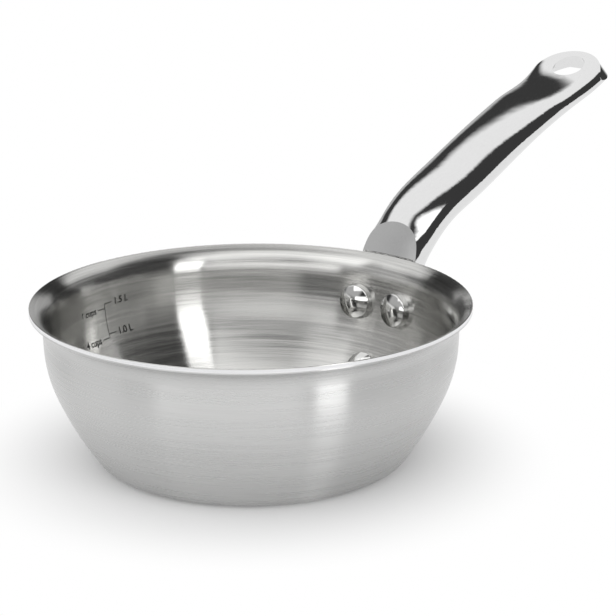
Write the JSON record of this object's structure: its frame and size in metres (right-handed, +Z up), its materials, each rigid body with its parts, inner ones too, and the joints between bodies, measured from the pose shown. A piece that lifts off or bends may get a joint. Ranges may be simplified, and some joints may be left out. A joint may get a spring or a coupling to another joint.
{
  "type": "saucier pan",
  "caption": "Rounded saucier pan in clad steel: flared-lip bowl, long upswept cast handle riveted to the wall, round hang hole in its tip.",
  "frame": {"origin": "middle of the flat base, on the surface the pan stands on", "axes": "+Z up along the axis of the bowl, +X out along the handle, +Y to the left seen from the bowl towards the handle"},
  "size_m": [0.4024, 0.219, 0.1668],
  "materials": {
    "satin_steel": "fine circumferential satin",
    "aluminium_core": "cut and polished edge at the lip",
    "brushed_liner": "circumferential brushed",
    "polished_steel": "mirror polished casting",
    "rivet_steel": "mirror polished"
  },
  "bodies": {
    "root": {"outer_ply": "satin_steel", "core_ply": "aluminium_core", "inner_ply": "brushed_liner", "handle": "polished_steel", "rivet_upper_left": "rivet_steel", "rivet_upper_right": "rivet_steel", "rivet_lower": "rivet_steel"}
  },
  "joints": []
}
